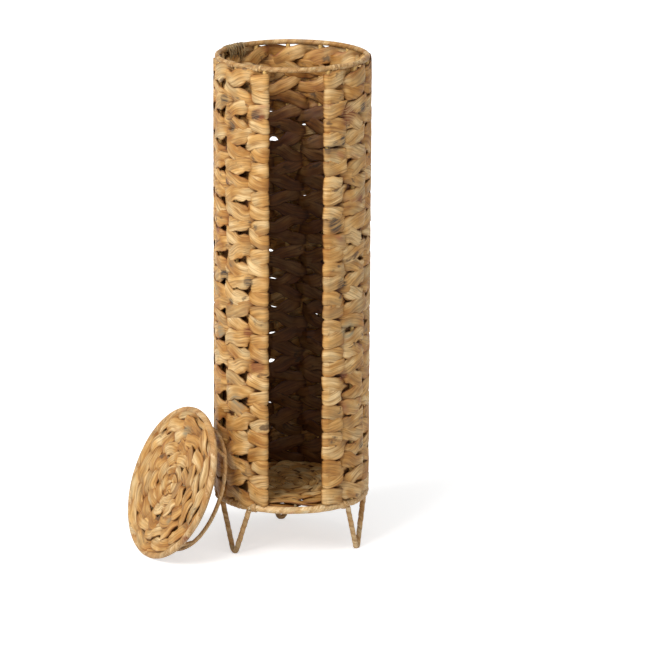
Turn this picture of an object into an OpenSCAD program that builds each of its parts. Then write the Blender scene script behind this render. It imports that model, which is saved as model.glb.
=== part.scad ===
// Tall woven stand for toilet rolls, with a front slot, three hairpin legs and a loose woven lid.
// Millimetres, +Z up. The origin is on the floor, on the basket's axis, and the slot faces -Y.
// The lid is shown taken off: it stands on its rim and leans on the left side of the basket.

/* [Basket] */
// Height from the floor to the top of the top ring
basket_h = 517.7; // [440:0.1:600]
// Height of the middle of the bottom ring above the floor
bottom_ring_z = 55.5; // [45:0.5:70]
// Radius of the circle on which the rings and the stakes stand
frame_r = 76.4; // [70:0.1:90]
// Angle between the two posts beside the front slot
slot_angle = 48.8; // [44:0.2:64]
// Clear height between the top weave row and the top ring
top_gap = 3.2; // [2:0.1:12]

/* [Wires] */
// Diameter of the wire in the top ring
top_wire_d = 3.4; // [3.2:0.1:5]
// Diameter of the wire in the bottom ring
bottom_wire_d = 4; // [3.4:0.1:5]
// Diameter of the wire in each upright stake and slot post
stake_wire_d = 2.6; // [2:0.1:3]
// Diameter of the wire in the legs
leg_wire_d = 3.2; // [2.6:0.1:3.6]
// Diameter of the wire spokes in the base and in the lid
spoke_d = 2.4; // [2:0.1:3]

/* [Wraps] */
// Thickness of the strip wound round the top ring
top_wrap_t = 0.9; // [0.7:0.05:1.5]
// Thickness of the strip wound round the bottom ring
bottom_wrap_t = 1.7; // [1.2:0.05:2.2]
// Thickness of the strip wound round the stakes and slot posts
stake_wrap_t = 0.9; // [0.6:0.05:0.95]
// Thickness of the strip wound round the legs
leg_wrap_t = 0.9; // [0.6:0.05:1.2]
// Thickness of the lashings bound over the rings
lash_t = 0.9; // [0.6:0.05:1.4]

/* [Legs] */
// Spread of a leg's two rods at the bottom ring
leg_spread = 49; // [24:0.5:54]
// Bend radius of a leg's wire at the foot
leg_bend_r = 3.6; // [3.4:0.1:6]
// How far a foot stands inside its rods' tops; less than 0 is outside them
leg_in = -1.5; // [-3:0.5:4]
// Depth of the flat worn on each foot
foot_flat = 0.5; // [0.3:0.1:0.8]
// Turn of the front left leg from the slot's middle
leg_left_az = -55.4; // [-65:0.2:-50]

/* [Weave] */
// Thickness of a strand where it crosses a stake
strand_t = 3.2; // [2.4:0.1:4]
// Radial width of a strand where the two strands of a row cross
strand_cross_w = 6.5; // [4:0.5:8]
// Angle through which a strand's end turns round a slot post
edge_turn = 96; // [80:1:110]

/* [Base] */
// Thickness of the strand in the base
base_strand_t = 3; // [2:0.1:3.6]
// Radial width of one round of the base weave
base_round_w = 9.6; // [8:0.2:12]
// Radius of the knot at the middle of the base
base_hub_r = 18; // [16:0.5:24]

/* [Lid] */
// Radius of the middle of the lid's rim
lid_r = 77.5; // [72:0.5:90]
// Diameter of the wire in the lid's rim
lid_wire_d = 4; // [3:0.1:5]
// Thickness of the strip wound round the lid's rim
lid_wrap_t = 1.4; // [0.8:0.05:2]
// Radius of the middle of the ring that drops into the basket
insert_r = 65.6; // [58:0.2:66]
// Drop of that ring below the rim
insert_drop = 21.9; // [16:0.1:35]
// Diameter of the wire in that ring
insert_wire_d = 2.2; // [1.6:0.1:3]
// Thickness of the strip wound round that ring
insert_wrap_t = 0.8; // [0.5:0.05:1.2]
// Number of struts between the rim and that ring
strut_count = 4; // [3:1:6]
// Diameter of a strut
strut_d = 3.6; // [2.6:0.1:4]
// Thickness of the strand in the lid
lid_strand_t = 3; // [2:0.1:3.4]
// Radial width of one round of the lid weave
lid_round_w = 9.6; // [8:0.2:12]
// Radius of the knot at the middle of the lid
lid_hub_r = 18; // [16:0.5:24]

/* [Lid at rest] */
// Turn of the lid's axis from the slot's middle
lid_face_az = -65.9; // [-80:0.1:-60]
// Turn of the lid's middle from the slot's middle
lid_place_az = -74; // [-80:0.1:-66]
// Tilt of the lid's axis above the floor
lid_tilt = 22.4; // [15:0.1:35]

/* [Clearances] */
// Gap between a wire and the strip wound round it
wrap_gap = 0.1; // [0.05:0.05:0.2]
// Gap where a stake, leg or spoke seats on a ring
seat_gap = 0.15; // [0.1:0.05:0.3]
// Gap between a strand and the stake or spoke that it passes
strand_gap = 0.4; // [0.3:0.05:0.6]
// Gap between neighbouring strands
row_gap = 0.5; // [0.3:0.05:0.8]
// Gap between the leaning lid and the basket
lean_gap = 0.3; // [0.3:0.1:1]

/* [Hidden] */
$fn = 48;

// Outer radii of the wrapped wires
top_r = top_wire_d / 2 + wrap_gap + top_wrap_t;
bottom_r = bottom_wire_d / 2 + wrap_gap + bottom_wrap_t;
stake_r = stake_wire_d / 2 + wrap_gap + stake_wrap_t;
leg_r = leg_wire_d / 2 + wrap_gap + leg_wrap_t;
rim_r = lid_wire_d / 2 + wrap_gap + lid_wrap_t;
insert_tube_r = insert_wire_d / 2 + wrap_gap + insert_wrap_t;

// Places of the stakes: the first and last stand beside the slot
weave_rows = 30;
gaps = 12;
step_a = (360 - slot_angle) / gaps;
function stake_az(i) = slot_angle / 2 + i * step_a;
function flat_dir(az) = [sin(az), -cos(az)];

// Heights of the rings, the spokes and the weave
top_ring_z = basket_h - top_r;
spoke_z = bottom_ring_z + bottom_r + seat_gap + spoke_d / 2;
weave_z0 = spoke_z + spoke_d / 2 + strand_gap;
weave_z1 = top_ring_z - top_r - top_gap;
row_pitch = (weave_z1 - weave_z0) / weave_rows;

// A row is two strands twined round the stakes: offsets from the stakes' circle
strand_out = stake_r + strand_gap + strand_t / 2;
strand_rise = row_pitch / 4;
strand_w = row_pitch - row_gap;
cross_t = row_pitch / 2 - row_gap;
wall_out = frame_r + strand_out + strand_t / 2;
wall_in = frame_r - strand_out - strand_t / 2;

straw = "#c9a36a";
pale = "#d6b67e";
wood = "#b98d52";
steel = "#8a8378";

// Joins rings of four corners into one closed strand. flip says which way its faces are
// split in triangles, and at each step the face listed in hollow is split the other way
module swept(rings, flip = false, hollow = []) {
    n = len(rings);
    k = 4;
    quads = [for (i = [0:n - 2]) for (j = [0:k - 1])
        [i * k + j, i * k + (j + 1) % k, (hollow[i] == j) != flip]];
    polyhedron(
        points = [for (r = rings) for (p = r) p],
        faces = concat(
            [[for (j = [0:k - 1]) j]],
            [for (q = quads) q[2] ? [q[0], q[0] + k, q[1]] : [q[0], q[0] + k, q[1] + k]],
            [for (q = quads) q[2] ? [q[1], q[0] + k, q[1] + k] : [q[0], q[1] + k, q[1]]],
            [[for (j = [k - 1:-1:0]) (n - 1) * k + j]]
        )
    );
}

// A strand's section in the upright plane through the point o towards m: c is its middle and
// half its half sizes, outward and upward; its corners start at the turn a
function section(o, m, z, c, half, a = 45) =
    [for (k = [0:3])
        let (f = a % 90 == 0 ? 1 : sqrt(2),
             p = c + [f * half[0] * cos(a - 90 * k), f * half[1] * sin(a - 90 * k)])
        [o[0] + m[0] * p[0], o[1] + m[1] * p[0], z + p[1]]];

// One section of a twined strand, at a count of quarter turns q of the pair: flat and upright
// outside or inside a stake, narrow and thick above or below its partner between two stakes
function twined(z, side, lean, q) =
    section([0, 0], flat_dir(slot_angle / 2 + step_a * q / 2), z,
        [frame_r + side * strand_out * cos(90 * q), side * lean * strand_rise * sin(90 * q)],
        q % 2 == 0 ? [strand_t / 2, strand_w / 2] : [strand_cross_w / 2, cross_t / 2],
        45 + 45 * lean * q + (side > 0 ? 0 : 180));

// One section of a strand's end that turns round a slot post by the angle a
function turned(z, az, side, a) =
    section(frame_r * flat_dir(az), flat_dir(az + side * a), z,
        [strand_out, 0], [strand_t / 2, strand_w / 2]);

// The faces that lie towards the row's other strand, one for each quarter turn
function facing(lean) =
    [for (q = [0:2 * gaps - 1]) (2 - lean * floor((q + 1) / 2) + 8 * gaps) % 4];

// Two strands, one starting outside the slot posts and the other inside them
module weave_row(i) {
    z = weave_z0 + (i - 0.5) * row_pitch;
    lean = i % 2 == 0 ? 1 : -1;
    color(i % 2 == 0 ? straw : pale) {
        swept(concat(
            [for (a = [edge_turn, edge_turn / 2]) turned(z, stake_az(0), -1, a)],
            [for (q = [0:2 * gaps]) twined(z, 1, lean, q)],
            [for (a = [edge_turn / 2, edge_turn]) turned(z, stake_az(gaps), 1, a)]
        ), lean < 0, concat([-1, -1], facing(lean)));
        swept([for (q = [0:2 * gaps]) twined(z, -1, lean, q)], lean < 0, facing(lean));
    }
}

// A closed ring of round wire, or of the strip round it where r_in is given
module ring(r, r_out, r_in = 0) {
    rotate_extrude() translate([r, 0]) difference() {
        circle(r_out);
        if (r_in > 0) circle(r_in);
    }
}

// Part of a ring, from one turn to another
module ring_part(r, r_out, r_in, az0, az1) {
    rotate([0, 0, az0 - 90]) rotate_extrude(angle = az1 - az0) translate([r, 0]) difference() {
        circle(r_out);
        circle(r_in);
    }
}

module top_ring_wire() {
    color(steel) translate([0, 0, top_ring_z]) ring(frame_r, top_wire_d / 2);
}

module top_ring_wrap() {
    color(pale) translate([0, 0, top_ring_z]) ring(frame_r, top_r, top_r - top_wrap_t);
}

module bottom_ring_wire() {
    color(steel) translate([0, 0, bottom_ring_z]) ring(frame_r, bottom_wire_d / 2);
}

module bottom_ring_wrap() {
    color(pale) translate([0, 0, bottom_ring_z])
        ring(frame_r, bottom_r, bottom_r - bottom_wrap_t);
}

// Upright rods between the two rings, cut to sit on them
module uprights(list, r_out, r_in = 0) {
    difference() {
        for (i = list) translate(concat(frame_r * flat_dir(stake_az(i)), bottom_ring_z))
            difference() {
                cylinder(r = r_out, h = top_ring_z - bottom_ring_z);
                if (r_in > 0) translate([0, 0, -1])
                    cylinder(r = r_in, h = top_ring_z - bottom_ring_z + 2);
            }
        translate([0, 0, top_ring_z]) ring(frame_r, top_r + seat_gap);
        translate([0, 0, bottom_ring_z]) ring(frame_r, bottom_r + seat_gap);
    }
}

module stake_wires() {
    color(steel) uprights([1:gaps - 1], stake_wire_d / 2);
}

module stake_wraps() {
    color(wood) uprights([1:gaps - 1], stake_r, stake_r - stake_wrap_t);
}

module slot_post_wires() {
    color(steel) uprights([0, gaps], stake_wire_d / 2);
}

module slot_post_wraps() {
    color(wood) uprights([0, gaps], stake_r, stake_r - stake_wrap_t);
}

// Lashings on the top ring, beside the slot posts and at the left
top_lash_a = 7;
module top_ring_lashings() {
    first = asin((stake_r + 1) / frame_r);
    color(wood) translate([0, 0, top_ring_z])
        for (az = [stake_az(0) + first, stake_az(gaps) - first - top_lash_a,
                   stake_az(gaps - 1) - first - top_lash_a])
            ring_part(frame_r, top_r + wrap_gap + lash_t, top_r + wrap_gap, az, az + top_lash_a);
}

// A hairpin leg in the plane y = 0: two straight rods and the bend at the foot, with a low
// bead round each end of the bend
leg_az = [leg_left_az, leg_left_az + 120, leg_left_az + 240];
leg_tip_z = leg_r - foot_flat;
leg_h = bottom_ring_z - leg_tip_z - leg_bend_r;
leg_long = sqrt(leg_h * leg_h + leg_spread * leg_spread / 4);
leg_open = atan(leg_spread / 2 / leg_h) - asin(leg_bend_r / leg_long);
leg_bead = 0.03;
module hairpin(r) {
    rod = sqrt(leg_long * leg_long - leg_bend_r * leg_bend_r);
    translate([0, 0, leg_tip_z + leg_bend_r]) {
        for (s = [-1, 1]) translate([s * leg_bend_r * cos(leg_open), 0, -leg_bend_r * sin(leg_open)]) {
            rotate([0, s * leg_open, 0]) cylinder(r = r, h = rod);
            sphere(r + leg_bead);
        }
        rotate([90, 0, 0]) rotate([0, 0, 180 + leg_open])
            rotate_extrude(angle = 180 - 2 * leg_open) translate([leg_bend_r, 0]) circle(r);
    }
}

// A leg in its place: its plane is the chord through its rods' tops, leaning in or out at the foot
leg_chord = sqrt(frame_r * frame_r - leg_spread * leg_spread / 4);
module leg_place(i) {
    rotate([0, 0, leg_az[i]]) translate([0, -leg_chord, bottom_ring_z])
        rotate([asin(leg_in / (bottom_ring_z - leg_tip_z)), 0, 0])
            translate([0, 0, -bottom_ring_z]) children();
}

module leg_cuts() {
    translate([0, 0, bottom_ring_z]) ring(frame_r, bottom_r + seat_gap);
    translate([-2 * frame_r, -2 * frame_r, -20]) cube([4 * frame_r, 4 * frame_r, 20]);
}

module leg_wire(i) {
    color(steel) difference() {
        leg_place(i) hairpin(leg_wire_d / 2);
        leg_cuts();
    }
}

module leg_wrap(i) {
    color(pale) difference() {
        leg_place(i) hairpin(leg_r);
        leg_place(i) hairpin(leg_r - leg_wrap_t);
        leg_cuts();
    }
}

// Lashings on the bottom ring: a long one between a leg's rods and a knot outside each,
// parted where a stake or a spoke stands in their way
knot_a = 4;
module leg_lashings() {
    tilt_room = (bottom_r + wrap_gap + lash_t) * tan(leg_open);
    rod_a = asin((leg_spread / 2 - tilt_room) / frame_r) - asin((leg_r + 0.6) / frame_r);
    out_a = asin(leg_spread / 2 / frame_r) + asin((leg_r + 0.6) / frame_r);
    color(wood) difference() {
        translate([0, 0, bottom_ring_z]) for (az = leg_az) {
            lashing(az - rod_a, az + rod_a);
            for (s = [-1, 1])
                lashing(az + s * (out_a + knot_a / 2) - knot_a / 2, az + s * (out_a + knot_a / 2) + knot_a / 2);
        }
        translate([0, 0, spoke_z]) spokes(base_spoke_az, base_hub_r, frame_r + spoke_d, spoke_d + 2 * seat_gap);
        for (i = [0:gaps]) translate(concat(frame_r * flat_dir(stake_az(i)), bottom_ring_z))
            cylinder(r = stake_r + seat_gap, h = 4 * bottom_r);
    }
}

module lashing(az0, az1) {
    ring_part(frame_r, bottom_r + wrap_gap + lash_t, bottom_r + wrap_gap, az0, az1);
}

// Spokes of a disc, lying in the plane z = 0
module spokes(list, r0, r1, d) {
    for (az = list) rotate([0, 0, az]) rotate([90, 0, 0]) translate([0, 0, r0])
        cylinder(d = d, h = r1 - r0);
}

// One strand wound in a flat spiral from the edge inwards, over one spoke and under the next.
// The two outer turns also have a section between the spokes, so that they follow the rim
function turn_az(list, i) = list[i % len(list)] + 360 * floor(i / len(list));
function half_az(list, i) = (turn_az(list, floor(i / 2)) + turn_az(list, ceil(i / 2))) / 2;
module spiral(list, r0, r1, w, over, t) {
    turns = (r0 - r1) / w - 0.3;
    fine = 2;
    swept([for (i = [0:2 * ceil(turns + 1) * len(list)])
        let (az = half_az(list, i), u = (az - list[0]) / 360)
        if (u <= turns && (i % 2 == 0 || u < fine))
            let (outer = r0 - w * max(0, u - 0.7),
                 inner = max(r1, r0 - w * (u + 0.3)) + row_gap,
                 s = i % 4 == 0 ? 1 : i % 4 == 2 ? -1 : 0)
            section([0, 0], flat_dir(az), 0,
                [(outer + inner) / 2, s * over], [(outer - inner) / 2, t / 2])]);
}

base_spoke_az = [for (i = [0:gaps]) i < gaps ? stake_az(i) + step_a / 2 : 360];
base_over = spoke_d / 2 + strand_gap + base_strand_t / 2;
module base_spokes() {
    color(steel) translate([0, 0, spoke_z])
        spokes(base_spoke_az, base_hub_r + seat_gap, frame_r, spoke_d);
}

// The knot that the spokes start from
module knot(r, h) {
    rotate_extrude() union() {
        translate([0, -h / 2]) square([r - h / 2, h]);
        translate([r - h / 2, 0]) intersection() {
            circle(h / 2);
            translate([0, -h]) square([h, 2 * h]);
        }
    }
}

module base_hub() {
    color(wood) translate([0, 0, spoke_z]) knot(base_hub_r, 2 * base_over);
}

module base_weave() {
    color(straw) translate([0, 0, spoke_z])
        spiral(base_spoke_az, wall_in - row_gap, base_hub_r, base_round_w, base_over, base_strand_t);
}

// The lid in its own frame: rim in the plane z = 0, top towards +Z
lid_spoke_az = [for (i = [0:10]) i * 360 / 11];
lid_over = spoke_d / 2 + strand_gap + lid_strand_t / 2;
strut_len = norm([lid_r - insert_r, insert_drop]);
strut_lean = atan((lid_r - insert_r) / insert_drop);
// The weave's lower edge stays clear of the struts
lid_weave_r = min(lid_r - rim_r - row_gap,
    lid_r - (lid_over + lid_strand_t / 2) * tan(strut_lean) - (strut_d / 2 + row_gap) / cos(strut_lean));

// Where the leaning lid stands: on its rim, as near as the wall lets it
lean_n = [cos(lid_tilt) * sin(lid_face_az), -cos(lid_tilt) * cos(lid_face_az), sin(lid_tilt)];
lean_a = [cos(lid_face_az), sin(lid_face_az), 0];
lean_b = cross(lean_n, lean_a);
lean_dir = flat_dir(lid_place_az);
function hoop(r, drop, t) = -drop * lean_n + r * cos(t) * lean_a + r * sin(t) * lean_b;
function away(p, reach) =
    let (c = p[0] * lean_dir[1] - p[1] * lean_dir[0], d = p[0] * lean_dir[0] + p[1] * lean_dir[1])
    abs(c) < reach ? sqrt(reach * reach - c * c) - d : 0;
// Outer radius of the woven wall at a turn: widest at a stake, least between two stakes
function wall_at(az) =
    let (f = (az - slot_angle / 2 + 720) / step_a, g = f - floor(f))
    wall_out + (frame_r + strand_cross_w / 2 - wall_out) * 2 * min(g, 1 - g);
function rest_away(p, room) =
    let (s = away(p, wall_out + room), x = p[0] + s * lean_dir[0], y = p[1] + s * lean_dir[1])
    away(p, wall_at(atan2(x, -y)) + room);
lid_away = max(concat(
    [for (t = [0:2:358]) rest_away(hoop(insert_r, insert_drop, t), insert_tube_r + lean_gap)],
    [for (t = [0:2:358]) rest_away(hoop(lid_r, 0, t), rim_r + lean_gap)]));
lid_z = lid_r * cos(lid_tilt) + rim_r;
module lid_place() {
    translate([lean_dir[0] * lid_away, lean_dir[1] * lid_away, lid_z])
        rotate([0, 0, lid_face_az]) rotate([90 - lid_tilt, 0, 0]) children();
}

module lid_rim_wire() {
    color(steel) lid_place() ring(lid_r, lid_wire_d / 2);
}

module lid_rim_wrap() {
    color(pale) lid_place() ring(lid_r, rim_r, rim_r - lid_wrap_t);
}

module lid_spokes() {
    color(steel) lid_place() difference() {
        spokes(lid_spoke_az, lid_hub_r + seat_gap, lid_r, spoke_d);
        ring(lid_r, rim_r + seat_gap);
    }
}

module lid_hub() {
    color(wood) lid_place() knot(lid_hub_r, 2 * lid_over);
}

module lid_weave() {
    color(straw) lid_place()
        spiral(lid_spoke_az, lid_weave_r, lid_hub_r, lid_round_w, lid_over, lid_strand_t);
}

// Struts from the rim down to the insert ring, cut to sit on both
module lid_struts() {
    color(pale) lid_place() difference() {
        for (i = [0:strut_count - 1]) rotate([0, 0, (i + 0.5) * 360 / strut_count])
            translate([0, -insert_r, -insert_drop]) rotate([strut_lean, 0, 0])
                cylinder(d = strut_d, h = strut_len);
        ring(lid_r, rim_r + seat_gap);
        translate([0, 0, -insert_drop]) ring(insert_r, insert_tube_r + seat_gap);
    }
}

module insert_ring_wire() {
    color(steel) lid_place() translate([0, 0, -insert_drop]) ring(insert_r, insert_wire_d / 2);
}

module insert_ring_wrap() {
    color(pale) lid_place() translate([0, 0, -insert_drop])
        ring(insert_r, insert_tube_r, insert_tube_r - insert_wrap_t);
}

top_ring_wire();
top_ring_wrap();
bottom_ring_wire();
bottom_ring_wrap();
stake_wires();
stake_wraps();
slot_post_wires();
slot_post_wraps();
top_ring_lashings();
leg_lashings();
leg_wire(0);  // leg_left_wire
leg_wrap(0);  // leg_left_wrap
leg_wire(1);  // leg_right_wire
leg_wrap(1);  // leg_right_wrap
leg_wire(2);  // leg_back_wire
leg_wrap(2);  // leg_back_wrap
base_spokes();
base_hub();
base_weave();
weave_row(1);  // weave_row_01
weave_row(2);  // weave_row_02
weave_row(3);  // weave_row_03
weave_row(4);  // weave_row_04
weave_row(5);  // weave_row_05
weave_row(6);  // weave_row_06
weave_row(7);  // weave_row_07
weave_row(8);  // weave_row_08
weave_row(9);  // weave_row_09
weave_row(10);  // weave_row_10
weave_row(11);  // weave_row_11
weave_row(12);  // weave_row_12
weave_row(13);  // weave_row_13
weave_row(14);  // weave_row_14
weave_row(15);  // weave_row_15
weave_row(16);  // weave_row_16
weave_row(17);  // weave_row_17
weave_row(18);  // weave_row_18
weave_row(19);  // weave_row_19
weave_row(20);  // weave_row_20
weave_row(21);  // weave_row_21
weave_row(22);  // weave_row_22
weave_row(23);  // weave_row_23
weave_row(24);  // weave_row_24
weave_row(25);  // weave_row_25
weave_row(26);  // weave_row_26
weave_row(27);  // weave_row_27
weave_row(28);  // weave_row_28
weave_row(29);  // weave_row_29
weave_row(30);  // weave_row_30
lid_rim_wire();
lid_rim_wrap();
lid_spokes();
lid_hub();
lid_weave();
lid_struts();
insert_ring_wire();
insert_ring_wrap();
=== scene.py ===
"""Looks for a tall woven storage stand with a loose lid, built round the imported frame.

Shapes are worked out in millimetres and degrees, and turned into metres when a mesh is made.
An azimuth of 0 is the front, where the slot is, and it grows towards the right.
"""
import math

import bpy
import numpy as np
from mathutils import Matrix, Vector


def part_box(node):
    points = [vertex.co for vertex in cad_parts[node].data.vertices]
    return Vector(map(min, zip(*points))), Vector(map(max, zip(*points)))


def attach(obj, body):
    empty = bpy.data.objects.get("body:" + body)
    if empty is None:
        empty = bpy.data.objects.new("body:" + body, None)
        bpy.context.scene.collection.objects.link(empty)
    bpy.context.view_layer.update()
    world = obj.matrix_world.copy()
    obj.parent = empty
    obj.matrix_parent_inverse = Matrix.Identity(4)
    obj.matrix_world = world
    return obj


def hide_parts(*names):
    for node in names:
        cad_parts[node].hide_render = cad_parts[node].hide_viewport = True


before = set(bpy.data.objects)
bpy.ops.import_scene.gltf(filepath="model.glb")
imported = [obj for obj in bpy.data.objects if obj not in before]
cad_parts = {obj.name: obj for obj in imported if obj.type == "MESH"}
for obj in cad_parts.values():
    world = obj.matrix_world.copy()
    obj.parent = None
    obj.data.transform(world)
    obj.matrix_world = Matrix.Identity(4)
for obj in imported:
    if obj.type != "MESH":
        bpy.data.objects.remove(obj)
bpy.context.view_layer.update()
scene = bpy.context.scene
MM = 1000.0                         # millimetres in a metre


def mid(node):
    """Middle of a node's box."""
    lo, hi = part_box(node)
    return np.array([(a + b) / 2 * MM for a, b in zip(lo, hi)])


def span(node, axis):
    """Size of a node's box along one axis."""
    lo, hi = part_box(node)
    return (hi[axis] - lo[axis]) * MM


# Camera, as the photograph's

cam_data = bpy.data.cameras.new("camera")
cam_data.lens = 232.5056
cam_data.sensor_width = 36.0
cam_data.clip_end = 60.0
cam = bpy.data.objects.new("camera", cam_data)
cam.location = (-0.24685, -4.15502, 1.32235)
cam.rotation_euler = (1.315261, -0.005073, -0.065706)
scene.collection.objects.link(cam)
scene.camera = cam

# Sizes of the frame

SLOT = 48.8                         # angle between the two posts beside the slot
GAPS = 12                           # spaces between the stakes round the wall
STEP = (360.0 - SLOT) / GAPS
POSTS = (SLOT / 2, 360 - SLOT / 2)
POST_R = 2.3                        # radius of a post and of a stake, in their strips
ROWS = 30
ROW_Z = [mid("weave_row_%02d" % (i + 1))[2] for i in range(ROWS)]

TOP_Z = mid("top_ring_wrap")[2]
TOP_R = span("top_ring_wrap", 2) / 2
BOT_Z = mid("bottom_ring_wrap")[2]
BOT_R = span("bottom_ring_wrap", 2) / 2
RING_R = span("top_ring_wrap", 0) / 2 - TOP_R
SPOKE_Z = mid("base_spokes")[2]

LEG_R = 2.6                         # radius of a leg's rod
LEG_AZ = (-55.4, 64.6, 184.6)
LEG_IN = -1.5                       # how far a foot stands inside its rods' tops (below 0: outside)
SPREAD = 49.0                       # between a leg's two rods at the bottom ring
CHORD = math.sqrt(RING_R ** 2 - (SPREAD / 2) ** 2)      # from the basket's axis to a leg's plane
BEND = 3.6                          # radius of the bend at the foot
TIP = LEG_R - 0.5                   # from the bend's lowest middle to the worn flat under it

RIM_C = mid("lid_rim_wrap")
LID_AZ = -65.9                      # where the lid's top looks
LID_TILT = 22.4                     # and how far up
LID_SPOKES = 11
LID_R = 77.5                        # radius of the circle of the lid's rim
RIM_R = 3.5                         # and of the rim itself, in its strip
INS_R = 65.6                        # radius of the circle of the ring that drops into the basket
INS_TUBE = 2.0                      # and of that ring itself, in its strip
DROP = 21.9                         # from the rim down to the insert ring


def flat_dir(az):
    """Level directions out of the basket's axis."""
    a = np.radians(az)
    return np.stack([np.sin(a), -np.cos(a), np.zeros_like(a)], -1)


def one_dir(az):
    return flat_dir(np.array([az]))[0]


# Random but repeatable shapes

def wander(seed, s, waves, amps):
    """A smooth curve along s: a few sines of about the given lengths, with seeded phases."""
    dice = np.random.RandomState(seed)
    out = np.zeros_like(s, dtype=float)
    for wave, amp in zip(waves, amps):
        out += amp * np.sin(2 * np.pi * (s / (wave * dice.uniform(0.8, 1.25)) + dice.rand()))
    return out


def unit(v):
    return v / np.maximum(np.linalg.norm(v, axis=-1, keepdims=True), 1e-9)


def tangent(path, closed):
    if closed:
        return unit(np.roll(path, -1, 0) - np.roll(path, 1, 0))
    return unit(np.gradient(path, axis=0))


def lengths(path):
    """Distance along a path at each of its points."""
    d = np.linalg.norm(np.diff(path, axis=0), axis=1)
    return np.concatenate([[0.0], np.cumsum(d)])


# Discoloured spots of the stems

# the place and reach of each: first the reddish ones, then the dark and the grey ones
STAINS = (
    ((53, -61, 465, 10.6), (-38, -71, 468, 7.4), (-48, -65, 243, 5.3), (-76, -27, 343, 5.3),
     (65, -47, 375, 6.4), (74, -31, 244, 5.3), (-39, -70, 208, 8.5), (67, -45, 223, 5.3),
     (50, -63, 194, 6.4), (-113, -105, 33, 6.4), (-62, 50, 300, 9.0), (58, 56, 450, 7.0)),
    ((-41, -69, 468, 5.3), (47, -65, 440, 5.3), (40, -70, 436, 5.3), (32, -74, 433, 4.3),
     (-71, -38, 479, 5.3), (-64, -49, 453, 6.4), (68, -43, 471, 5.3), (72, -36, 496, 5.3),
     (-71, -38, 295, 6.4), (-48, -65, 295, 5.3), (-65, -48, 270, 4.3), (40, -70, 354, 8.5),
     (48, -65, 291, 7.4), (69, -42, 115, 4.3), (-152, -29, 22, 4.3), (20, 78, 402, 8.0),
     (-30, 75, 150, 7.0)),
    ((-74, -32, 235, 6.4), (55, -59, 242, 9.6), (-58, -55, 163, 10.6), (-127, -66, 41, 5.3),
     (-107, -25, 126, 7.4), (71, 39, 190, 8.0)))


def stains(v):
    """How strongly each kind of stain shows at the points v."""
    out = np.zeros((len(v), len(STAINS)))
    for kind, spots in enumerate(STAINS):
        for x, y, z, reach in spots:
            near = np.flatnonzero(np.abs(v[:, 2] - z) < 1.5 * reach)
            d2 = ((v[near] - (x, y, z)) ** 2).sum(1) / (reach * reach)
            out[near, kind] = np.maximum(out[near, kind], np.clip(1.7 - 1.3 * d2, 0, 1))
    return out


# Meshes

class Builder:
    """Collects grids of points into one mesh with the attributes that the materials read.

    fibre is the place across and along a stem, with a third number that tells stems apart.
    A third attribute is painted shade, 1 in the open and lower in folds, crevices and overlaps,
    and stain holds the three kinds of stain.
    """

    def __init__(self):
        self.verts, self.faces, self.fibre, self.painted_shade = [], [], [], []
        self.count = 0

    def grid(self, pts, fibre, painted_shade, closed=False):
        """pts is rings x sides x 3; every ring is a closed loop, and open ends get a cap."""
        n, m, _ = pts.shape
        first = self.count
        i = np.arange(n if closed else n - 1)[:, None]
        j = np.arange(m)[None, :]
        after_i, after_j = (i + 1) % n, (j + 1) % m
        quads = [i * m + j, after_i * m + j, after_i * m + after_j, i * m + after_j]
        self.verts.append(pts.reshape(-1, 3))
        self.fibre.append(fibre.reshape(-1, 3))
        self.painted_shade.append(painted_shade.reshape(-1))
        self.faces.append(np.stack(quads, -1).reshape(-1, 4) + first)
        self.count += n * m
        if closed:
            return
        for ring in (0, n - 1):
            self.verts.append(pts[ring].mean(0)[None])
            self.fibre.append(fibre[ring].mean(0)[None])
            self.painted_shade.append(np.array([painted_shade[ring].mean()]))
            loop = first + ring * m + np.arange(m)
            after = np.roll(loop, -1)
            hub = np.full(m, self.count)
            self.faces.append(np.stack([hub, after, loop] if ring else [hub, loop, after], -1))
            self.count += 1

    def keep_above_floor(self):
        for v in self.verts:
            v[:, 2] = np.maximum(v[:, 2], 0.0)

    def make(self, name, material):
        v = np.concatenate(self.verts) / MM
        counts = np.concatenate([np.full(len(f), f.shape[1]) for f in self.faces])
        loops = np.concatenate([f.reshape(-1) for f in self.faces])
        mesh = bpy.data.meshes.new(name)
        mesh.vertices.add(len(v))
        mesh.vertices.foreach_set("co", v.reshape(-1))
        mesh.loops.add(len(loops))
        mesh.loops.foreach_set("vertex_index", loops)
        mesh.polygons.add(len(counts))
        mesh.polygons.foreach_set("loop_start", np.concatenate([[0], np.cumsum(counts)[:-1]]))
        mesh.polygons.foreach_set("loop_total", counts)
        mesh.polygons.foreach_set("use_smooth", np.ones(len(counts), bool))
        mesh.update(calc_edges=True)
        mesh.validate()
        for layer, kind, field, values in (
                ("fibre", "FLOAT_VECTOR", "vector", np.concatenate(self.fibre)),
                ("stain", "FLOAT_VECTOR", "vector", stains(v * MM)),
                ("painted_shade", "FLOAT", "value", np.concatenate(self.painted_shade))):
            data = mesh.attributes.new(layer, kind, "POINT").data
            data.foreach_set(field, values.reshape(-1))
        ob = bpy.data.objects.new(name, mesh)
        mesh.materials.append(material)
        scene.collection.objects.link(ob)
        return ob


def place(ob, body, slot, *replaced):
    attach(ob, body)
    if replaced:
        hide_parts(*replaced)


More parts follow.
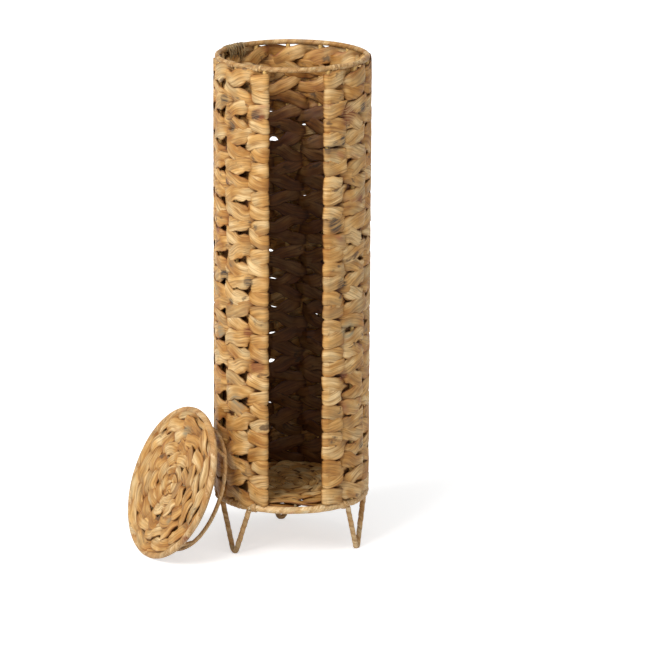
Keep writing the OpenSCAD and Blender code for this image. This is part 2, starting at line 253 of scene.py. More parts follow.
def ribbon(b, path, out, half_w, half_t, seed, sides, dome, ridge, shade, flat, tilt,
           rim=0.62, limit=None, extra=None):
    """A flattened, creased stem along a path.

    out is the direction its broad face looks, and half_w and half_t are half its width and
    thickness. dome bows it, ridge is the depth of its creases, flat squares its section, and
    tilt turns it about the path. rim sets the painted shade along its edges, and shade is more
    painted shade, given as an array or a function of the points. limit moves the points, and
    extra widens each edge.
    """
    dice = np.random.RandomState(seed)
    n = len(path)
    t = tangent(path, False)
    normal = unit(out - (out * t).sum(-1, keepdims=True) * t)
    across = np.cross(t, normal)
    s = lengths(path)

    # the section: x across from -1 to 1, and y through the thickness
    angle = np.linspace(0, 2 * np.pi, sides, endpoint=False) + np.pi / sides
    x = (np.sign(np.cos(angle)) * np.abs(np.cos(angle)) ** 0.75)[None, :]
    y = (np.sign(np.sin(angle)) * np.abs(np.sin(angle)) ** flat)[None, :]
    face = np.sign(y)
    left = 1 + wander(seed + 1, s, (43, 19, 9), (0.07, 0.055, 0.03))
    right = 1 + wander(seed + 2, s, (47, 21, 8), (0.07, 0.055, 0.03))
    side_w = np.where(x > 0, right[:, None], left[:, None]) * half_w[:, None]
    if extra is not None:
        side_w = side_w + np.where(x > 0, extra[1][:, None], extra[0][:, None])

    # ribs with sharp valleys between them, which fade in and out along the stem
    ribs = np.zeros((n, sides))
    for k in range(3):
        freq = dice.uniform(0.9, 2.6)
        lead = dice.rand() + wander(seed + 7 + k, s, (70, 28), (0.16, 0.10))[:, None]
        gain = 0.55 + wander(seed + 17 + k, s, (46, 20), (0.35, 0.22))[:, None]
        ribs += gain * (np.abs(np.sin(np.pi * (freq * x + lead))) - 0.64)
    ribs *= ridge * (1 - np.abs(x) ** 3)

    roll = wander(seed + 3, s, (60, 25), (0.08, 0.06)) + tilt
    thick = 1 + wander(seed + 5, s, (40, 17, 8), (0.13, 0.10, 0.05))
    curl = 1 + wander(seed + 8, s, (50, 22), (0.35, 0.3))
    y = y * half_t[:, None] * thick[:, None] + ribs * face
    y = y - (dome * curl)[:, None] * x ** 2 + x * roll[:, None] * half_w[:, None]
    y = y + wander(seed + 6, s, (19, 9), (0.16, 0.09))[:, None]

    # both ends narrow over the last 4 mm
    end = 0.35 + 0.65 * np.sqrt(np.clip(np.minimum(s, s[-1] - s) / 4.0, 0, 1))
    side_w, y = side_w * end[:, None], y * end[:, None]
    pts = path[:, None, :] + across[:, None, :] * (x * side_w)[..., None]
    pts = pts + normal[:, None, :] * y[..., None]
    if limit is not None:
        pts = limit(pts)

    fibre = np.stack([x * side_w, np.broadcast_to(s[:, None], (n, sides)),
                      np.full((n, sides), (seed * 7.31) % 97)], -1)
    # painted shade: darker along the edges and in the valleys between the ribs, times shade
    edge = 1 - np.reshape(rim, (-1, 1)) * np.clip((np.abs(x) - 0.80) / 0.20, 0, 1) ** 1.3
    groove = np.clip(0.62 + ribs / (ridge + 1e-6) * 0.75, 0, 1)
    painted_shade = edge * (0.62 + 0.38 * groove) * (shade(pts) if callable(shade) else shade)
    b.grid(pts, fibre, painted_shade)


def wound(b, path, ref, r, pitch, seed, closed, sides=18, per=9, step=0.10):
    """A wire with a strip wound round it: a tube whose surface steps where the turns overlap.

    ref is a direction for each point of the path, from which the turns are counted. pitch is
    the length of a turn, per its rings of points, and step its relief as a share of r.
    """
    if closed:
        path, ref = (np.concatenate([c, c[:1]]) for c in (path, ref))
    s_path = lengths(path)
    total = s_path[-1]
    turns = max(3, round(total / pitch))
    s = np.linspace(0, total, turns * per, endpoint=not closed)
    p, refs = (np.stack([np.interp(s, s_path, c[:, k]) for k in range(3)], -1) for c in (path, ref))
    t = tangent(p, closed)
    normal = unit(refs - (refs * t).sum(-1, keepdims=True) * t)
    binormal = np.cross(t, normal)
    a = np.linspace(0, 2 * np.pi, sides, endpoint=False)
    h = s[:, None] / total * turns + a[None, :] / (2 * np.pi)
    which = np.floor(h).astype(int) % turns
    share = h - np.floor(h)
    dice = np.random.RandomState(seed)
    lift = dice.uniform(0.55, 1.25, turns)[which]
    shape = np.clip(share / 0.85, 0, 1) ** 0.7 * (1 - np.clip((share - 0.86) / 0.14, 0, 1))
    radius = r * (1 - step) + r * step * shape * lift
    radius = radius + r * 0.018 * np.sin(a[None, :] * 3 + dice.rand() * 6 + s[:, None] / 9.0)
    pts = p[:, None, :] + radius[..., None] * (np.cos(a)[None, :, None] * normal[:, None, :]
                                               + np.sin(a)[None, :, None] * binormal[:, None, :])
    hue = dice.rand(turns)[which]
    along = (a[None, :] + 2 * np.pi * which) * r
    fibre = np.stack([share * pitch, along, seed % 91 + hue * 3.0], -1)
    # painted shade, darker where each turn starts under the edge of the turn before
    painted_shade = 0.50 + 0.50 * np.clip(shape * 1.7, 0, 1) ** 0.8
    b.grid(pts, fibre, painted_shade, closed)


def circle_path(r, n=360):
    az = np.linspace(0, 360, n, endpoint=False)
    return flat_dir(az) * r, flat_dir(az)


def arc_path(r, az0, az1, z, n=24):
    az = np.linspace(az0, az1, n)
    p = flat_dir(az) * r
    p[:, 2] = z
    return p, flat_dir(az)


# Materials

def new_mat(name):
    mat = bpy.data.materials.new(name)
    mat.use_nodes = True
    return mat, mat.node_tree, mat.node_tree.nodes["Principled BSDF"]


def node(tree, kind, **settings):
    n = tree.nodes.new(kind)
    for k, v in settings.items():
        setattr(n, k, v)
    return n


def srgb(code):
    c = [int(code[i:i + 2], 16) / 255 for i in (1, 3, 5)]
    return tuple(v / 12.92 if v <= 0.04045 else ((v + 0.055) / 1.055) ** 2.4 for v in c)


def grey(v):
    return (v, v, v)


def ramp(tree, fac, *stops):
    """A colour ramp over fac through stops of (position, colour)."""
    r = node(tree, "ShaderNodeValToRGB")
    elements = r.color_ramp.elements
    while len(elements) < len(stops):
        elements.new(0.5)
    for e, (pos, col) in zip(elements, stops):
        e.position = pos
        e.color = (*col, 1)
    tree.links.new(fac, r.inputs["Fac"])
    return r.outputs["Color"]


def mix(tree, fac, a, b, blend="MIX"):
    """Mixes two colours. Each of fac, a and b is a socket or a plain value."""
    m = node(tree, "ShaderNodeMix", data_type="RGBA", blend_type=blend)
    for sock, val in ((m.inputs[0], fac), (m.inputs[6], a), (m.inputs[7], b)):
        if hasattr(val, "is_linked"):
            tree.links.new(val, sock)
        elif isinstance(val, (int, float)):
            sock.default_value = val
        else:
            sock.default_value = (*val, 1)
    return m.outputs[2]


def add_bump(tree, bsdf, height, strength, depth):
    bump_node = node(tree, "ShaderNodeBump")
    bump_node.inputs["Strength"].default_value = strength
    bump_node.inputs["Distance"].default_value = depth / MM
    tree.links.new(height, bump_node.inputs["Height"])
    tree.links.new(bump_node.outputs["Normal"], bsdf.inputs["Normal"])


STAIN_COLOURS = (srgb("#7b4018"), srgb("#3c3025"), srgb("#94876a"))
DRAB = srgb("#8c8264")


def stem_material(name, colours, rot_at, rough, bump, fine=1.0, band_tone=1.0):
    """Dry plant stem: streaks along its fibres, colour patches, stains, painted shade in folds.

    colours are its pale, usual and deeper colour, its streaks, its rotten spots and its blush.
    rot_at is the noise value where rot starts. fine widens the streaks where it is below 1,
    and band_tone lightens the bands where it is above 1.
    """
    mat, tree, bsdf = new_mat(name)
    pale, light, base, dark, rot, red = map(srgb, colours)
    at = node(tree, "ShaderNodeAttribute", attribute_name="fibre")
    painted_shade = node(tree, "ShaderNodeAttribute", attribute_name="painted_shade")
    marks = node(tree, "ShaderNodeAttribute", attribute_name="stain")

    def noise(scale, shift, detail, roughness):
        """Noise over fibre. scale is its frequency across, along and from stem to stem."""
        scaled = node(tree, "ShaderNodeVectorMath", operation="MULTIPLY_ADD")
        tree.links.new(at.outputs["Vector"], scaled.inputs[0])
        scaled.inputs[1].default_value = scale
        scaled.inputs[2].default_value = (shift, shift * 1.7, shift * 0.6)
        n = node(tree, "ShaderNodeTexNoise")
        n.inputs["Scale"].default_value = 1.0
        n.inputs["Detail"].default_value = detail
        n.inputs["Roughness"].default_value = roughness
        tree.links.new(scaled.outputs[0], n.inputs["Vector"])
        return n.outputs["Fac"]

    patch = noise((0.05, 0.030, 1.7), 0.0, 2.0, 0.55)
    band = noise((0.24 * fine, 0.024, 1.3), 11.0, 3.0, 0.6)
    streak = noise((0.62 * fine, 0.034, 1.1), 23.0, 4.0, 0.62)
    hair = noise((2.6 * fine, 0.07, 1.0), 5.0, 3.0, 0.7)
    blot = noise((0.085, 0.050, 2.3), 31.0, 3.0, 0.6)
    blush = noise((0.060, 0.028, 2.9), 47.0, 2.0, 0.5)
    drab = noise((0.055, 0.026, 2.1), 61.0, 2.0, 0.5)

    # patches of colour, then bands, streaks and hairlines along the fibres
    col = ramp(tree, patch, (0.36, base), (0.50, light), (0.63, pale))
    deep = tuple(v * band_tone for v in (0.71, 0.60, 0.44))
    col = mix(tree, 1.0, col, ramp(tree, band, (0.34, deep), (0.55, grey(1.0)),
                                   (0.72, (1.12, 1.12, 1.14))), "MULTIPLY")
    amount = ramp(tree, streak, (0.36, grey(1.0)), (0.53, grey(0.0)))
    col = mix(tree, amount, col, mix(tree, 0.58, col, dark))
    col = mix(tree, 1.0, col, ramp(tree, hair, (0.32, (0.79, 0.73, 0.65)), (0.60, grey(1.0))),
              "MULTIPLY")

    # a reddish blush, rotten spots and drab stretches
    col = mix(tree, ramp(tree, blush, (0.66, grey(0.0)), (0.76, grey(0.75))), col, red)
    col = mix(tree, ramp(tree, blot, (rot_at, grey(0.0)), (rot_at + 0.07, grey(0.85))), col, rot)
    col = mix(tree, ramp(tree, drab, (0.52, grey(0.0)), (0.66, grey(0.62))), col,
              mix(tree, 0.5, col, DRAB))

    # the stains, torn along the fibres
    parts = node(tree, "ShaderNodeSeparateXYZ")
    tree.links.new(marks.outputs["Vector"], parts.inputs[0])
    torn = ramp(tree, streak, (0.42, grey(1.0)), (0.59, grey(0.40)))
    for kind, shade in enumerate(STAIN_COLOURS):
        col = mix(tree, mix(tree, 1.0, parts.outputs[kind], torn, "MULTIPLY"), col, shade)

    # painted shade in the folds, crevices and overlaps, browner as it deepens
    col = mix(tree, 1.0, col, ramp(tree, painted_shade.outputs["Fac"], (0.18, (0.17, 0.09, 0.035)),
                                   (0.55, (0.70, 0.58, 0.43)), (0.95, grey(1.0))), "MULTIPLY")
    tree.links.new(col, bsdf.inputs["Base Color"])
    bsdf.inputs["Roughness"].default_value = rough
    bsdf.inputs["Specular IOR Level"].default_value = 0.4
    height = node(tree, "ShaderNodeMath", operation="ADD")
    tree.links.new(streak, height.inputs[0])
    tree.links.new(hair, height.inputs[1])
    add_bump(tree, bsdf, height.outputs[0], bump, 0.8)
    return mat


def plain_material(name, colour, rough, scale, metal):
    """A mottled finish of one colour, for what shows only between the stems."""
    mat, tree, bsdf = new_mat(name)
    coords = node(tree, "ShaderNodeTexCoord")
    n = node(tree, "ShaderNodeTexNoise")
    n.inputs["Scale"].default_value = scale
    n.inputs["Detail"].default_value = 4.0
    tree.links.new(coords.outputs["Object"], n.inputs["Vector"])
    col = ramp(tree, n.outputs["Fac"], (0.3, tuple(v * 0.7 for v in colour)), (0.7, colour))
    tree.links.new(col, bsdf.inputs["Base Color"])
    bsdf.inputs["Roughness"].default_value = rough
    bsdf.inputs["Metallic"].default_value = metal
    add_bump(tree, bsdf, n.outputs["Fac"], 0.3, 0.4)
    return mat


def strip_material(name, colours, band_tone):
    return stem_material(name, colours, 0.74, 0.55, 0.25, fine=0.6, band_tone=band_tone)


STEM = stem_material("woven_stem", ("#f0d099", "#dfb16b", "#c18b43", "#7d5222", "#5a4229",
                                    "#a9643a"), 0.635, 0.6, 0.4)
LASH = stem_material("lashing", ("#b59a6e", "#937748", "#75592f", "#3f2d18", "#4a4036",
                                 "#74523a"), 0.56, 0.6, 0.3, fine=0.8)
STRIP = strip_material("wound_strip", ("#e9cda0", "#dcb884", "#c99c62", "#95692f", "#7d6047",
                                       "#b98263"), 1.1)
# a darker, browner copy of the wound strip: painted shade for the top ring and its lashings
SHADED_STRIP = strip_material("strip_painted_shade", ("#d9b985", "#c59d66", "#b0844a", "#7d5426", "#6d5440",
                                     "#a9714f"), 1.05)
# a paler copy of the wound strip: painted light for the bottom ring, which sits in shade under the
# wall
LIT_STRIP = strip_material("strip_painted_light", ("#f6e0b8", "#eed0a0", "#dfba84", "#a97c42", "#8d7057",
                                     "#c79072"), 1.15)
STAKE = plain_material("stake_strip", srgb("#dfb46a"), 0.6, 220.0, 0.0)
WIRE = plain_material("wire", srgb("#8d7753"), 0.5, 400.0, 0.2)

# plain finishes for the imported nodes, of which those that aren't replaced stay in sight
for name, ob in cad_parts.items():
    if "wire" in name or "spokes" in name:
        finish = WIRE
    else:
        finish = STAKE if "stake" in name or "post" in name else STRIP
    ob.data.materials.clear()
    ob.data.materials.append(finish)

# The woven wall

PER = 10                            # points of a strand for each half space
OUT = 3.8                           # from the stakes' circle to a strand that passes a stake
LAP = 1.5                           # how far out of the stakes' circle it crosses its partner
RISE = 5.3                          # how far up or down it is there
WIDE, NARROW = 7.5, 6.2             # half its width past a stake and at a crossing
FAN = 6.0                           # how far it spreads into the notch that it leaves open
BACK_AZ, BACK_REACH = 185, 38       # where strands are narrower, so that light shows through
WALL_OUT = 82.1                     # the wall's outer radius
SIDE_OUT = 80.3                     # and its reach to either side


def wall_limit(pts):
    """Keeps the wall inside its outer radius, with a soft stop over the last millimetre."""
    r = np.hypot(pts[..., 0], pts[..., 1])
    side = SIDE_OUT * r / np.maximum(np.abs(pts[..., 0]), 1e-6)
    top = np.minimum(WALL_OUT, side) - 1.0
    new = np.where(r > top, top + 1.0 - np.exp(-np.clip(r - top, 0, 9)), r)
    out = pts.copy()
    out[..., 0] *= new / r
    out[..., 1] *= new / r
    return out


def wall_shade(pts):
    """Painted shade: darker in the middle of the wall, where strands dive between each other,
    and inside, less so towards the top.
    """
    r = np.hypot(pts[..., 0], pts[..., 1])
    k = np.clip((np.abs(r - RING_R) - 0.2) / 2.2, 0, 1)
    # painted shade inside the basket, fading out towards the top where light comes over the rim
    inner = np.where(r < RING_R, 0.31, 1.0)
    inner = inner + (1 - inner) * np.clip((pts[..., 2] - TOP_Z + 75) / 60, 0, 1) * 0.95
    return (0.58 + 0.42 * k * k * (3 - 2 * k)) * inner


def level(c, k=1.9):
    """A cosine with a flatter top: the strand stays on the face and crosses over quickly."""
    return np.tanh(k * c) / math.tanh(k)


def post_turn(sign, post, z, lean):
    """A strand's end that turns round a slot post, from next to its last point onwards."""
    turn = np.linspace(0, 165, 16)[1:]
    d = flat_dir(post + sign * turn)
    e = one_dir(post) * RING_R + d * (OUT - 0.3)
    e[:, 2] = z + lean * 0.5 * np.sin(np.radians(turn))
    return e, d


def wall_strand(b, row, side):
    """One of a row's two strands. The one of side 1 also turns round both slot posts."""
    seed = 1000 + row * 80 + (0 if side > 0 else 40)
    lean = 1 if row % 2 else -1

    # q counts half spaces from the right post, and near is 0 at a post and 1 away from it
    q = np.linspace(0, 2 * GAPS, 2 * GAPS * PER + 1)
    near = np.clip(np.minimum(q, 2 * GAPS - q), 0, 1)
    az = SLOT / 2 + STEP * q / 2
    s = np.radians(az) * RING_R
    phi = np.radians(90 * q) + (0 if side > 0 else np.pi)
    phi = phi + wander(seed + 14, q, (7.3, 3.1), (0.24, 0.15)) * near
    sin_phi, cos_phi = np.sin(phi), np.cos(phi)

    lap = LAP + wander(seed + 11, s, (70, 31), (0.35, 0.3)) + 0.55 * lean * np.clip(sin_phi, 0, 1)
    rise = (RISE + wander(seed + 15, s, (64, 35), (1.0, 0.7))) * near ** 0.6
    drift = wander(seed + 12, s, (120, 47, 27), (0.7, 0.55, 0.35)) * near
    out = flat_dir(az)
    path = out * (RING_R + OUT * level(cos_phi) + lap * sin_phi * near)[:, None]
    path[:, 2] = ROW_Z[row] + lean * rise * sin_phi + drift

    back = np.exp(-((az - BACK_AZ) / BACK_REACH) ** 2)
    uneven = wander(seed + 13, s, (80, 41, 24), (0.06, 0.06, 0.05)) * near
    half_w = (WIDE * cos_phi ** 2 + NARROW * sin_phi ** 2) * (1 + uneven)
    half_w = half_w + 0.45 * (1 - near)
    half_w = half_w - 0.45 * back
    half_t = 1.2 + 0.35 * sin_phi ** 2
    fan = FAN * lean * sin_phi * np.sqrt(np.abs(cos_phi)) * near * (1 - back)
    fan = fan * (1 + wander(seed + 18, s, (90, 37), (0.20, 0.20)))
    extra = [np.clip(-fan, 0, None), np.clip(fan, 0, None)]
    if row == 0:
        extra[1] = extra[1] + 2.3
    if row == ROWS - 1:
        extra[0] = extra[0] + 1.0
    dome = 0.35 * near * cos_phi
    # painted shade along each strand's edges, weaker next to the posts
    rim = 0.25 + 0.40 * near
    tilt = 0.12 * lean * cos_phi * near + wander(seed + 16, s, (52, 29), (0.09, 0.06)) * near

    if side > 0:
        end0, dir0 = post_turn(-1, POSTS[0], path[0, 2], lean)
        end1, dir1 = post_turn(1, POSTS[1], path[-1, 2], lean)
        path = np.concatenate([end0[::-1], path, end1])
        out = np.concatenate([dir0[::-1], out, dir1])
        k = len(end0)

        def pad(v, first, last):
            return np.concatenate([np.full(k, first), v, np.full(k, last)])

        half_w = pad(half_w, half_w[0], half_w[-1])
        half_w[:k] *= np.linspace(0.8, 1, k)
        half_w[-k:] *= np.linspace(1, 0.8, k)
        half_t = pad(half_t, 1.2, 1.2)
        dome, tilt, rim = pad(dome, 0, 0), pad(tilt, 0, 0), pad(rim, 0.25, 0.25)
        extra = [pad(e, e[0], e[-1]) for e in extra]
    ribbon(b, path, out, half_w, half_t, seed, 24, dome, 0.5, wall_shade, 0.48, tilt,
           rim=rim, limit=wall_limit, extra=extra)


for row in range(ROWS):
    b = Builder()
    wall_strand(b, row, 1)
    wall_strand(b, row, -1)
    ob = b.make("woven_row_%02d" % (row + 1), STEM)
    place(ob, "basket", "woven_stem", "weave_row_%02d" % (row + 1))

# The two bodies' places

turn, tilt = math.radians(LID_AZ), math.radians(LID_TILT)
level_part = math.cos(tilt)
LID_N = np.array([level_part * math.sin(turn), -level_part * math.cos(turn), math.sin(tilt)])
LID_A = np.array([math.cos(turn), math.sin(turn), 0.0])
LID_B = np.cross(LID_N, LID_A)


def at_z(z):
    """Lifts points of a level ring to z, and leaves directions as they are."""
    def f(p, vec=False):
        return p if vec else p + np.array([0, 0, z])
    return f


def lid_world(p, vec=False):
    """From the lid's own frame, with x and y in the rim's plane and z out of its top."""
    q = p[:, :1] * LID_A + p[:, 1:2] * LID_B + p[:, 2:3] * LID_N
    return q if vec else q + RIM_C


def lid_drop(p, vec=False):
    """The same from the insert ring's plane."""
    return lid_world(p, True) if vec else lid_world(p - np.array([0, 0, DROP]))


# Wound rings and legs

def ring_piece(name, body, replaced, r, tube, pitch, seed, to_world, step, finish):
    path, ref = circle_path(r)
    b = Builder()
    wound(b, to_world(path), to_world(ref, True), tube, pitch, seed, True, step=step)
    place(b.make(name, finish), body, "wound_strip", replaced)


# the top ring takes the darker strip, with painted shade
ring_piece("top_ring_binding", "basket", "top_ring_wrap", RING_R, TOP_R, 9.0, 11,
           at_z(TOP_Z), 0.05, SHADED_STRIP)
# the bottom ring takes the paler strip, with painted light
ring_piece("bottom_ring_binding", "basket", "bottom_ring_wrap", RING_R, BOT_R, 15.0, 12,
           at_z(BOT_Z), 0.06, LIT_STRIP)
ring_piece("lid_rim_binding", "lid", "lid_rim_wrap", LID_R, RIM_R - 0.04, 21.0, 13,
           lid_world, 0.035, STRIP)
ring_piece("insert_ring_binding", "lid", "insert_ring_wrap", INS_R, INS_TUBE + 0.2, 11.0, 14,
           lid_drop, 0.07, STRIP)


def leg_path(az):
    """Middle line of a hairpin leg, and the direction that its turns are counted from."""
    h = BOT_Z - TIP - BEND
    far = math.hypot(h, SPREAD / 2)
    opening = math.atan2(SPREAD / 2, h) - math.asin(BEND / far)
    rod = math.sqrt(far ** 2 - BEND ** 2) - BOT_R - 0.2
    foot = np.array([BEND * math.cos(opening), 0, -BEND * math.sin(opening)])
    up = np.array([math.sin(opening), 0, math.cos(opening)])
    right = foot + up * np.linspace(rod, 0, 30)[:-1, None]
    a = np.radians(np.linspace(360, 180, 15)) - np.linspace(opening, -opening, 15)
    bend = np.stack([BEND * np.cos(a), np.zeros(15), BEND * np.sin(a)], -1)
    left = (right * np.array([-1, 1, 1]))[::-1]
    p = np.concatenate([right, bend, left]) + np.array([0, 0, TIP + BEND])

    # leaned about the bottom ring's chord, and turned to its place
    lean = math.asin(LEG_IN / (BOT_Z - TIP))
    p = p - np.array([0, 0, BOT_Z])
    y, z = p[:, 1].copy(), p[:, 2].copy()
    p[:, 1] = y * math.cos(lean) - z * math.sin(lean)
    p[:, 2] = y * math.sin(lean) + z * math.cos(lean)
    p = p + np.array([0, -CHORD, BOT_Z])
    a = math.radians(az)
    rot = np.array([[math.cos(a), -math.sin(a), 0], [math.sin(a), math.cos(a), 0], [0, 0, 1]])
    return p @ rot.T, np.tile(rot @ np.array([0, -1.0, 0.05]), (len(p), 1))


for i, side in enumerate(("left", "right", "back")):
    p, ref = leg_path(LEG_AZ[i])
    b = Builder()
    wound(b, p, ref, LEG_R + 0.35, 9.0, 30 + i, False, per=14, step=0.16)
    b.keep_above_floor()
    ob = b.make("leg_%s_binding" % side, STRIP)
    place(ob, "basket", "wound_strip", "leg_%s_wrap" % side)

# Woven discs: base and lid

DISC_STOP = 1.7                     # the strands end this near to the middle
DISC_OUT = 2.6                      # from the spokes' plane to a strand that passes a spoke
BROAD = 22.0                        # spokes' spacing below which strands get small


def disc_weave(b, spokes, r_edge, w, seed, slant, world):
    """Two strands twined in a spiral from the rim inwards.

    w is the width of a round, which starts small along the rim and shrinks again towards the
    middle. slant is how far the strands lean across it.
    """
    spokes = np.asarray(spokes, float)
    k = len(spokes)
    i = np.arange(0, k * 30)
    knots = spokes[i % k] + 360.0 * (i // k)
    fine = np.linspace(0, len(i) - 1, (len(i) - 1) * 12 + 1)
    az = np.interp(fine, i, knots)
    turn = (az - az[0]) / 360.0

    # each round starts where the one before it ends
    mid_r, half = np.zeros(len(az)), np.zeros(len(az))
    edge_at = np.full(len(az), r_edge)
    for j in range(len(az)):
        start = r_edge
        if turn[j] > 1:
            start = np.interp(turn[j] - 1.0, turn[:j + 1], edge_at[:j + 1])
        want = w * (0.62 + 0.38 * np.clip(start / 42.0, 0, 1))
        size = want * min(1.0, max(0.22, turn[j]))
        edge_at[j] = start - size
        mid_r[j] = start - size / 2
        half[j] = size / 2
    stop = np.argmax(mid_r < DISC_STOP) if (mid_r < DISC_STOP).any() else len(az)
    az, fine, turn, mid_r, half = (v[:stop] for v in (az, fine, turn, mid_r, half))

    arc = np.radians(360.0 / k) * mid_r
    small = np.clip(arc / BROAD, 0.3, 1)
    # towards the middle a strand passes more than one spoke between its turns
    pace = np.concatenate([[0], np.cumsum(np.diff(fine) * np.clip(arc / BROAD, 0.42, 1)[1:])])
    s = np.cumsum(np.concatenate([[0], np.radians(np.diff(az)) * mid_r[:-1]]))
    slant = slant * np.clip(2.2 * np.cos(np.pi * (turn - 0.3)), -1, 1)
    room = np.clip(half / (w / 2), 0.2, 1)
    for side in (0, 1):
        phi = np.pi * pace + np.pi * side
        phi = phi + wander(seed + 31 + side, fine, (6.7, 2.9), (0.22, 0.14))
        phi = phi + 0.45 * np.pi * turn
        sin_phi, cos_phi = np.sin(phi), np.cos(phi)
        drift = wander(seed + 5 + side, s, (60, 27), (0.3, 0.25)) * small
        path = flat_dir(az) * (mid_r + slant * small * room * sin_phi + drift)[:, None]
        z = (DISC_OUT * level(cos_phi) + 0.9 * sin_phi) * (0.5 + 0.5 * small) * (0.5 + 0.5 * room)
        path[:, 2] = z
        out = np.tile(np.array([0, 0, 1.0]), (len(az), 1))
        half_w = half * (1.02 + 0.12 * cos_phi ** 2) + 0.25
        half_t = (1.0 + 0.35 * sin_phi ** 2) * (0.65 + 0.35 * small)
        # painted shade, darker where a strand dives between the spokes
        high = np.abs(z) / (DISC_OUT * (0.5 + 0.5 * small))
        shade = 0.58 + 0.42 * np.clip((high - 0.1) / 0.8, 0, 1)
        ribbon(b, world(path), world(out, True), half_w, half_t, seed + side * 9, 20,
               0.35 * cos_phi * small, 0.42, shade[:, None], 0.5, 0.10 * cos_phi)


b = Builder()
lid_spokes = np.arange(LID_SPOKES) * 360 / LID_SPOKES
disc_weave(b, lid_spokes, r_edge=75.4, w=12.6, seed=501, slant=-3.3, world=lid_world)
ob = b.make("lid_twined_weave", STEM)
place(ob, "lid", "woven_stem", "lid_weave", "lid_hub")

b = Builder()
base_spokes = [SLOT / 2 + STEP * (j + 0.5) for j in range(GAPS)] + [360.0]
disc_weave(b, base_spokes, r_edge=73.4, w=10.6, seed=701, slant=-3.0, world=at_z(SPOKE_Z))
ob = b.make("base_twined_weave", STEM)
place(ob, "basket", "woven_stem", "base_weave", "base_hub")

# Lashings and struts

LASHING = 7                         # angle that a lashing of the top ring covers
beside = math.degrees(math.asin((POST_R + 1) / RING_R))      # 1 mm clear of a post
starts = (POSTS[0] + beside, POSTS[1] - beside - LASHING,
          SLOT / 2 + STEP * (GAPS - 1) - beside - LASHING)
b = Builder()
for i, az in enumerate(starts):
    p, ref = arc_path(RING_R, az, az + LASHING, TOP_Z)
    wound(b, p, ref, TOP_R + 0.85, 3.4, 40 + i, False, step=0.14)
# in the darker strip, with painted shade
ob = b.make("top_ring_lashing_turns", SHADED_STRIP)
place(ob, "basket", "lashing", "top_ring_lashings")

# a darker bundle of stems tied over the top ring at the back left
b = Builder()
p, ref = arc_path(RING_R, 219.0, 241.0, TOP_Z - 0.2, 60)
wound(b, p, ref, TOP_R + 0.8, 3.1, 61, False, step=0.22)
a = np.radians(np.linspace(0, 360, 40, endpoint=False))
for i in range(8):
    az = 220.5 + 2.7 * i
    d, sideways = one_dir(az), one_dir(az + 90.0)
    drop = 7.4 + 1.2 * math.sin(i * 2.1)
    path = d * RING_R + d * (4.6 * np.sin(a))[:, None] + sideways * (1.3 * np.sin(a + i))[:, None]
    path[:, 2] += TOP_Z + 2.6 - drop + drop * np.cos(a)
    ref = d * np.sin(a)[:, None] + np.array([0, 0, 1.0]) * np.cos(a)[:, None]
    wound(b, path, ref, 1.0 + 0.25 * math.sin(i * 1.3), 9.0, 62 + i, True, sides=10, step=0.2)
ob = b.make("top_ring_bundle", LASH)
place(ob, "basket", "lashing")

# each leg has one lashing between its rods and a knot outside each of them
b = Builder()
for i, az in enumerate(LEG_AZ):
    for j, (a0, a1, proud, pitch) in enumerate((
            (-14.2, 14.2, 0.7, 5.5), (20.9, 24.9, 1.2, 3.2), (-24.9, -20.9, 1.2, 3.2))):
        p, ref = arc_path(RING_R, az + a0, az + a1, BOT_Z)
        wound(b, p, ref, BOT_R + proud, pitch, 50 + 3 * i + j, False, step=0.15)
ob = b.make("leg_lashing_turns", STRIP)
place(ob, "basket", "lashing", "leg_lashings")

b = Builder()
for i in range(4):
    d = one_dir((i + 0.5) * 90.0)
    low = d * INS_R - np.array([0, 0, DROP])
    high = d * LID_R
    far = np.linalg.norm(high - low)
    u = (high - low) / far
    p = low + u * np.linspace(INS_TUBE, far - RIM_R, 12)[:, None]
    ref = np.tile(np.cross(u, [0.3, 0.2, 0.9]), (12, 1))
    wound(b, lid_world(p), lid_world(ref, True), 1.8, 4.0, 70 + i, False, sides=12)
ob = b.make("lid_strut_bindings", STRIP)
place(ob, "lid", "wound_strip", "lid_struts")


# Floor, world and lamps

def background_rays(tree):
    """1 for rays of the camera, mirrors and glass, which see the white background."""
    rays = node(tree, "ShaderNodeLightPath")
    last = rays.outputs["Is Camera Ray"]
    for ray in ("Is Glossy Ray", "Is Transmission Ray"):
        both = node(tree, "ShaderNodeMath", operation="MAXIMUM")
        tree.links.new(last, both.inputs[0])
        tree.links.new(rays.outputs[ray], both.inputs[1])
        last = both.outputs[0]
    return last


scene.view_settings.view_transform = "Standard"

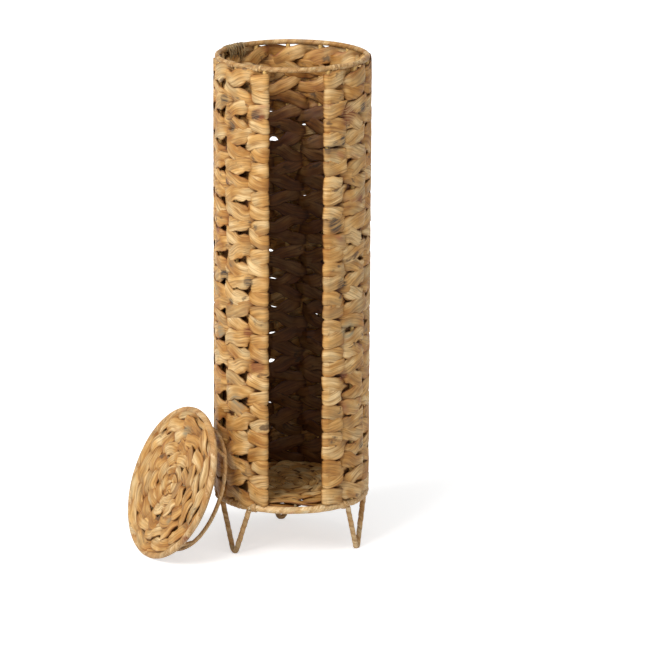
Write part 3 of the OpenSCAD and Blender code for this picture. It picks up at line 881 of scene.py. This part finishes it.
# the floor glows white for those rays, and less near the object, so that its shadow shows
mesh = bpy.data.meshes.new("floor")
mesh.from_pydata([(-14, -14, 0), (14, -14, 0), (14, 14, 0), (-14, 14, 0)], [], [(0, 1, 2, 3)])
floor = bpy.data.objects.new("floor", mesh)
scene.collection.objects.link(floor)
mat, tree, bsdf = new_mat("floor_white")
bsdf.inputs["Base Color"].default_value = (0.80, 0.80, 0.80, 1)
bsdf.inputs["Roughness"].default_value = 0.9
bsdf.inputs["Specular IOR Level"].default_value = 0.0
coords = node(tree, "ShaderNodeTexCoord")
far = node(tree, "ShaderNodeVectorMath", operation="LENGTH")
tree.links.new(coords.outputs["Object"], far.inputs[0])
fade = node(tree, "ShaderNodeMapRange", interpolation_type="SMOOTHSTEP")
fade.inputs["From Min"].default_value = 0.16
fade.inputs["From Max"].default_value = 0.75
fade.inputs["To Min"].default_value = 0.60
fade.inputs["To Max"].default_value = 1.0
tree.links.new(far.outputs["Value"], fade.inputs["Value"])
seen = node(tree, "ShaderNodeMath", operation="MULTIPLY")
tree.links.new(background_rays(tree), seen.inputs[0])
tree.links.new(fade.outputs["Result"], seen.inputs[1])
glow = node(tree, "ShaderNodeEmission")
glow.inputs["Color"].default_value = (1, 1, 1, 1)
tree.links.new(seen.outputs[0], glow.inputs["Strength"])
total = node(tree, "ShaderNodeAddShader")
tree.links.new(bsdf.outputs[0], total.inputs[0])
tree.links.new(glow.outputs[0], total.inputs[1])
tree.links.new(total.outputs[0], tree.nodes["Material Output"].inputs["Surface"])
mesh.materials.append(mat)

# the world is white for those rays, and a soft fill light for the rest
world = bpy.data.worlds.new("world")
scene.world = world
world.use_nodes = True
tree = world.node_tree
sky = tree.nodes["Background"]
sky.inputs["Color"].default_value = (1, 1, 1, 1)
strength = node(tree, "ShaderNodeMapRange")
strength.inputs["To Min"].default_value = 0.27
strength.inputs["To Max"].default_value = 1.0
tree.links.new(background_rays(tree), strength.inputs["Value"])
tree.links.new(strength.outputs[0], sky.inputs["Strength"])

for name, at, target, size, power in (
        ("key", (-1.8, -2.0, 2.4), (0, 0, 0.25), 1.7, 109),
        ("fill", (2.2, -1.8, 1.4), (0, 0, 0.25), 1.4, 10),
        ("top", (0.1, -0.5, 2.7), (0, 0, 0.3), 1.2, 12)):
    data = bpy.data.lights.new(name, "AREA")
    data.size = size
    data.energy = power
    ob = bpy.data.objects.new(name, data)
    ob.location = at
    ob.rotation_euler = (Vector(target) - Vector(at)).to_track_quat("-Z", "Y").to_euler()
    scene.collection.objects.link(ob)
